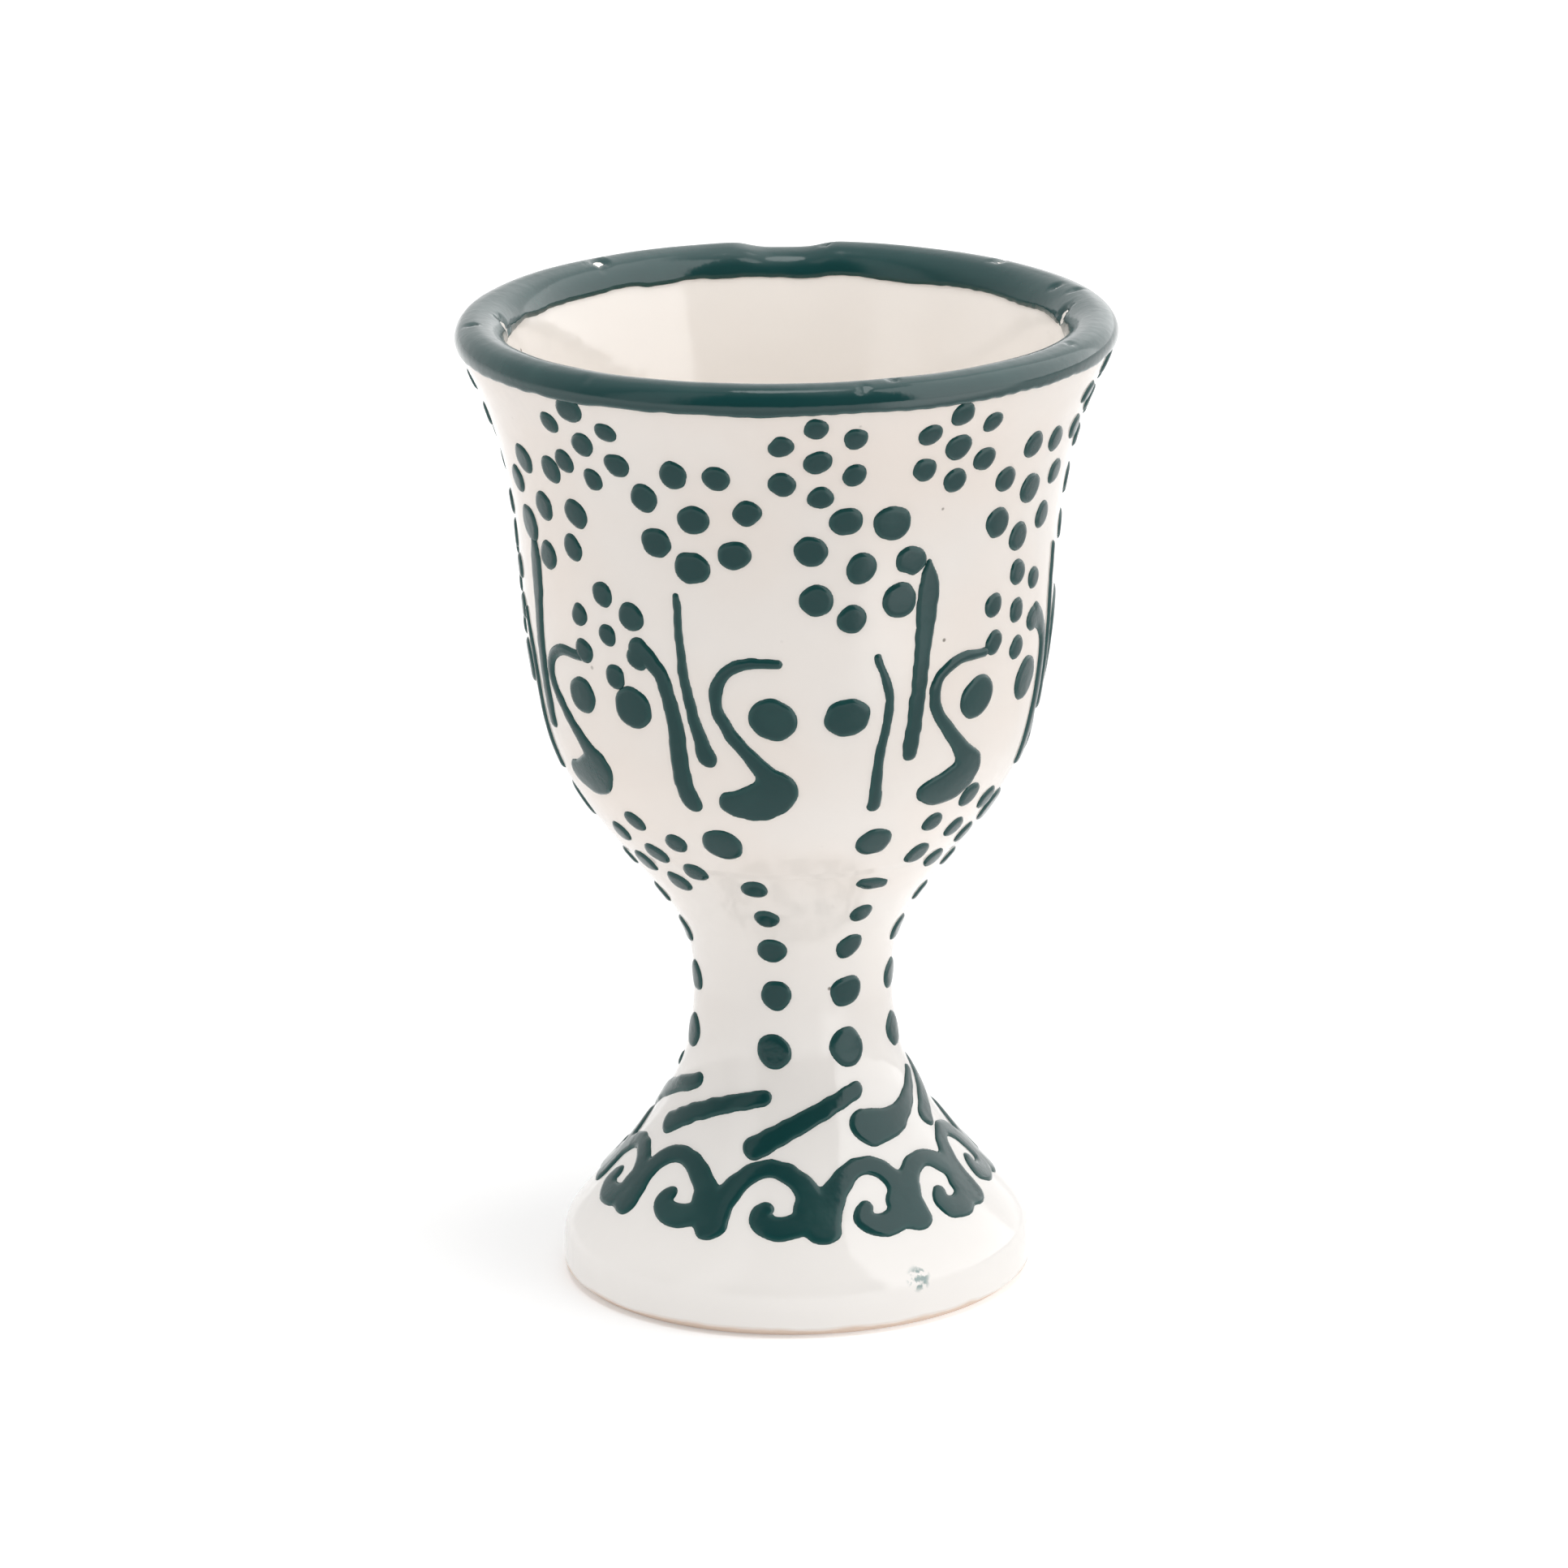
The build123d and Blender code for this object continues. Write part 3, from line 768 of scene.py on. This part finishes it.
# strokes between the tendrils, in the order in which they follow each other round the cup
stroke = {
    "order": ("thinWavy", "thickStraight", "thickWavy", "thinStraight"),
    "thinWavy": ((-0.7, 6.8, 0.32), (0.4, 3.2, 0.42), (-0.2, -2.0, 0.45), (-0.2, -6.3, 0.6)),
    "thickStraight": ((0.8, 14.2, 0.3), (0.9, 12.2, 0.95), (0.5, 6.5, 0.75), (0.0, -1.7, 0.72)),
    "thickWavy": ((-2.4, 6.8, 1.0), (-0.5, 5.0, 0.7), (0.5, 0.5, 0.75), (0.5, -4.0, 0.85), (0.9, -6.2, 0.9)),
    "thinStraight": ((-1.2, 11.8, 0.34), (-0.8, 5.4, 0.45), (0.1, 0.5, 0.6), (0.7, -1.7, 0.85)),
}


def strokeMarks():
    patches = []
    for index, (angle, height, _) in enumerate(placesOf("belly_strokes")):
        kind = stroke["order"][index % len(stroke["order"])]
        patches.append((angle, height, centred(stroke[kind])))
    return patches


trailedPiece("bellyStrokes", "belly_strokes", strokeMarks())

# single large dots beside the tendrils
eye = {"dot": 0.95, "seed": 15}
eyeMarks = dotMarks(placesOf("eye_dots"), np.random.default_rng(eye["seed"]), eye["dot"])
trailedPiece("eyeDots", "eye_dots", eyeMarks)

# columns of dots down the stem, one dot smeared sideways by a finger, in mm and degrees
# a dot keeps clear of the middles of a rosette's dots, by steps aside up to the farthest
column = {
    "dot": 0.92, "seed": 21, "sameRow": 0.5, "clear": 1.55, "step": 1, "farthest": 12,
    "smearAngle": 29, "smearDrop": 1.6, "smearOval": ((-1.0, 0.3, 0.6), (0.0, 0.0, 0.75), (1.0, -0.3, 0.5)),
}


def wayBetween(first, second):
    # distance in mm on the wall from one place to another, and the turn in degrees
    turn = halfTurn(second[0] - first[0])
    rise = lengthAt(second[1]) - lengthAt(first[1])
    return math.hypot(math.radians(turn) * radiusAt(first[1]), rise), turn


def columnPlaces():
    # a dot that would run into a rosette under the bowl is whole, as in the other columns, and steps aside
    dots, places = placesOf("stem_dot_columns"), []
    for angle, height, _ in dots:
        reach = min(other[2] for other in dots if abs(other[1] - height) < column["sameRow"])
        for _ in range(0, column["farthest"], column["step"]):
            gap, turn = min(wayBetween(place, (angle, height)) for place in underMarks)
            if gap > reach * column["dot"] + column["clear"]:
                break
            angle += math.copysign(column["step"], turn)
        places.append((angle, height, reach))
    return places


def columnMarks():
    patches = dotMarks(columnPlaces(), np.random.default_rng(column["seed"]), column["dot"])
    smearHeight = jointHeight - column["smearDrop"]
    smeared = min(patches, key=lambda patch: abs(patch[0] - column["smearAngle"]) + abs(patch[1] - smearHeight))
    return [(angle, height, [column["smearOval"]] if (angle, height) == smeared[:2] else marks)
            for angle, height, marks in patches]


trailedPiece("stemDotColumns", "stem_dot_columns", columnMarks())

# slanted commas round the foot of the stem, drawn in three ways: length, rise, bow, radius at head and at tail
comma = {
    "kinds": ((8.9, 3.9, 0.5, 0.97, 0.75), (8.6, 4.4, 0.2, 1.0, 0.78), (7.8, 2.8, -1.0, 1.65, 0.6)),
    "order": (1, 0, 1, 2, 0, 1, 2, 0), "steps": 6, "taper": 1.3,
}


def commaMarks():
    patches = []
    for (angle, height, _), kind in zip(placesOf("stem_commas"), comma["order"]):
        length, rise, bow, head, tail = comma["kinds"][kind]
        course = []
        for share in np.linspace(0, 1, comma["steps"]):
            up = rise * share + bow * (1 - (2 * share - 1) ** 2)
            course.append((length * share, up, tail + (head - tail) * (1 - share) ** comma["taper"]))
        patches.append((angle, height, centred(course)))
    return patches


trailedPiece("stemCommas", "stem_commas", commaMarks())

# running scroll round the foot: each wave an arch that runs down into the next, and a curl that hooks back
# across is a share of the wave's length, up is mm along the slope, and waves gives lean, crest and the curl's low
scroll = {
    "count": 12, "apart": 15, "height": 9.8, "foot": -2.5, "span": 0.49, "steps": 9,
    "thin": 0.8, "swell": 0.4, "swellPower": 1.5, "spare": 6,
    "curlMiddle": 0.61, "curlWidth": 0.26, "curlRise": 1.45, "curlLift": 0.8, "curlStart": 25, "curlTurn": 235,
    "curlShrink": 0.4, "curlThick": 0.95, "curlSwell": 0.2, "curlTaper": 0.25,
    "waves": ((-0.02, 1.9, -2.9), (-0.12, 2.8, -2.2), (0.0, 2.8, -2.3), (0.1, 2.6, -2.6)),
}


def waveCrests():
    # angles of the solid's crests, each the highest corner for some way round
    solid = solidsOf("foot_scrolls")[0]
    turns = np.degrees(np.arctan2(solid[:, 0], -solid[:, 1]))
    crests = []
    for index in np.argsort(-solid[:, 2]):
        if all(abs(halfTurn(turns[index] - crest)) > scroll["apart"] for crest in crests):
            crests.append(turns[index])
        if len(crests) == scroll["count"]:
            break
    return sorted(fromFront(crest) for crest in crests)


def waveCourses(lean, crest, low):
    arch, curl = [], []
    middle = low + scroll["curlLift"] * scroll["curlRise"]
    for share in np.linspace(0, 1, scroll["steps"]):
        swing, lift = math.cos(math.pi * share), math.sin(math.pi * share)
        arch.append((0.5 - scroll["span"] * swing + lean * lift,
                     scroll["foot"] + (crest - scroll["foot"]) * lift,
                     scroll["thin"] + scroll["swell"] * abs(swing) ** scroll["swellPower"]))
        turn = math.radians(scroll["curlStart"] - scroll["curlTurn"] * share)
        tight = 1 - scroll["curlShrink"] * share
        curl.append((scroll["curlMiddle"] + scroll["curlWidth"] * math.cos(turn) * tight,
                     middle + scroll["curlRise"] * math.sin(turn) * tight,
                     scroll["curlThick"] + scroll["curlSwell"] * lift - scroll["curlTaper"] * share**2))
    return arch, curl


def scrollMarks(radius):
    crests = waveCrests()
    laps = [crest + lap for lap in (-360, 0, 360) for crest in crests]
    marks = []
    for index in range(1, len(laps) - 1):
        start, end = (laps[index - 1] + laps[index]) / 2, (laps[index] + laps[index + 1]) / 2
        length = math.radians(end - start) * radius
        for course in waveCourses(*scroll["waves"][index % len(crests) % len(scroll["waves"])]):
            marks.append([(math.radians(start) * radius + share * length, up, size) for share, up, size in course])
    half = math.pi * radius + scroll["spare"]
    return [(0, scroll["height"], [mark for mark in marks if -half < mark[0][0] < half])]


scrollRadius = radiusAt(scroll["height"])
trailedPiece("footScrolls", "foot_scrolls", scrollMarks(scrollRadius), scrollRadius)
print("slip trailed")

# pale floor with painted glow round the foot and at the right, soft studio light, and a tall bright panel at the
# right and a weak one at the left
# lengths in metres; a Turn or Top is a span of directions, where right, back and up are 1
studio = {
    "floorColour": (0.80, 0.80, 0.80), "floorRoughness": 0.9, "floorReach": 4.0, "floorHeight": -0.00005,
    "farGlow": (0.0, 0.5), "farReach": (0.05, 0.3), "nearGlow": (0.2, 0.45), "nearTurn": (-0.6, 0.9),
    "nearReach": (0.04, 0.12), "sideGlow": 1.4, "sideTurn": (0.4, 0.62), "sideReach": (0.06, 0.16),
    "sideDepth": (-0.12, -0.02),
    "roomLevel": (0.44, 0.62), "roomTurn": (-0.95, -0.25), "shine": (0.12, 1.0), "shineTurn": (-0.75, 0.2),
    "sideShine": (0.9, 1.7), "sideShineTurn": (-0.2, 0.4), "panelTop": (0.9, 0.97),
    "rightPanel": 2.8, "rightTurn": (0.65, 0.73), "leftPanel": 0.9, "leftTurn": (-0.7, -0.52),
    "leftFade": (0.3, 1.0), "leftFadeTurn": (-0.97, -0.85), "overhead": 4.0, "overheadTop": (0.975, 0.99),
    "aim": (0.0, 0.0, 0.045),
    "lamps": {  # place, size and power
        "leftLamp": ((-0.60, -0.35, 0.40), (0.50, 0.60), 1.15),
        "rightLamp": ((0.65, -0.26, 0.36), (0.62, 0.50), 1.5),
        "topLamp": ((0.0, -0.06, 0.80), (0.45, 0.45), 3.5),
    },
}


def bearing(tree, place):
    # where a spot lies round the upright axis: share to the right, its parts and distance from the axis
    split = tree.nodes.new("ShaderNodeSeparateXYZ")
    tree.links.new(place, split.inputs["Vector"])
    flat = tree.nodes.new("ShaderNodeVectorMath")
    flat.operation = "MULTIPLY"
    tree.links.new(place, flat.inputs[0])
    flat.inputs[1].default_value = (1, 1, 0)
    distance = tree.nodes.new("ShaderNodeVectorMath")
    distance.operation = "LENGTH"
    tree.links.new(flat.outputs["Vector"], distance.inputs[0])
    toRight = mathNode(tree, "DIVIDE", split.outputs["X"], distance.outputs["Value"])
    return toRight, split.outputs, distance.outputs["Value"]


def studioStage():
    reach, level = studio["floorReach"], studio["floorHeight"]
    corners = [(x * reach, y * reach, level) for x, y in ((-1, -1), (1, -1), (1, 1), (-1, 1))]
    floorMesh = bpy.data.meshes.new("floor")
    floorMesh.from_pydata(corners, [], [(0, 1, 2, 3)])
    floor = bpy.data.objects.new("floor", floorMesh)
    bpy.context.collection.objects.link(floor)
    material, tree, shader = newMaterial("paleFloor")
    shader.inputs["Base Color"].default_value = (*studio["floorColour"], 1)
    shader.inputs["Roughness"].default_value = studio["floorRoughness"]
    toRight, along, distance = bearing(tree, tree.nodes.new("ShaderNodeTexCoord").outputs["Object"])
    far = ranged(tree, distance, studio["farReach"], *studio["farGlow"])
    # painted light: a glowing patch of floor at the right, seen by the camera and in reflections on the cup
    paintedSideGlow = mathNode(tree, "MULTIPLY", ranged(tree, toRight, studio["sideTurn"]),
                       ranged(tree, distance, studio["sideReach"]))
    paintedSideGlow = mathNode(tree, "MULTIPLY", paintedSideGlow,
                       ranged(tree, along["Y"], studio["sideDepth"], studio["sideGlow"], 0.0))
    # painted light: the floor round the foot glows for every ray, brighter to the right, lighting the foot and
    # lifting the cup's shadow
    near = mathNode(tree, "MULTIPLY", ranged(tree, toRight, studio["nearTurn"], *studio["nearGlow"]),
                    ranged(tree, distance, studio["nearReach"], 1.0, 0.0))
    rays = tree.nodes.new("ShaderNodeLightPath").outputs
    seen = mathNode(tree, "MAXIMUM", rays["Is Camera Ray"], rays["Is Glossy Ray"])
    seen = mathNode(tree, "MAXIMUM", seen, rays["Is Transmission Ray"])
    glow = mathNode(tree, "MULTIPLY", seen, mathNode(tree, "ADD", far, paintedSideGlow))
    shader.inputs["Emission Color"].default_value = (1, 1, 1, 1)
    tree.links.new(mathNode(tree, "ADD", glow, near), shader.inputs["Emission Strength"])
    floorMesh.materials.append(material)


def studioWorld():
    world = bpy.data.worlds.new("studio")
    bpy.context.scene.world = world
    world.use_nodes = True
    tree = world.node_tree
    toRight, along, _ = bearing(tree, tree.nodes.new("ShaderNodeTexCoord").outputs["Generated"])
    level = ranged(tree, along["Y"], studio["roomTurn"], *studio["roomLevel"])  # dimmer room in front
    shine = ranged(tree, along["Y"], studio["shineTurn"], *studio["shine"])  # what gloss reflects
    low = ranged(tree, along["Z"], studio["panelTop"], 1.0, 0.0)
    right = mathNode(tree, "MULTIPLY", ranged(tree, toRight, studio["rightTurn"], 0.0, studio["rightPanel"]), low)
    left = mathNode(tree, "MULTIPLY", ranged(tree, toRight, studio["leftTurn"], studio["leftPanel"], 0.0), low)
    left = mathNode(tree, "MULTIPLY", ranged(tree, toRight, studio["leftFadeTurn"], *studio["leftFade"]), left)
    sideShine = ranged(tree, toRight, studio["sideShineTurn"], *studio["sideShine"])
    shine = mathNode(tree, "MULTIPLY", shine, sideShine)
    shine = mathNode(tree, "MAXIMUM", shine, mathNode(tree, "MAXIMUM", right, left))
    overhead = ranged(tree, along["Z"], studio["overheadTop"], 0.0, studio["overhead"])  # thin glint along the lip
    shine = mathNode(tree, "MAXIMUM", shine, overhead)
    rays = tree.nodes.new("ShaderNodeLightPath").outputs
    seen = mathNode(tree, "MAXIMUM", rays["Is Camera Ray"], rays["Is Transmission Ray"])
    strength = mixed(tree, seen, mixed(tree, rays["Is Glossy Ray"], level, shine), 1.0)
    background = tree.nodes["Background"]
    background.inputs["Color"].default_value = (1, 1, 1, 1)
    tree.links.new(strength, background.inputs["Strength"])


def studioLamps():
    for name, (place, size, power) in studio["lamps"].items():
        data = bpy.data.lights.new(name, "AREA")
        data.shape = "RECTANGLE"
        data.size, data.size_y = size
        data.energy = power
        lamp = bpy.data.objects.new(name, data)
        lamp.location = place
        lamp.visible_glossy = False  # the panels round the cup make the highlights
        lamp.rotation_euler = (Vector(studio["aim"]) - Vector(place)).to_track_quat("-Z", "Y").to_euler()
        bpy.context.collection.objects.link(lamp)


studioStage()
studioWorld()
studioLamps()
bpy.context.scene.view_settings.view_transform = "Standard"
print("studio lit")
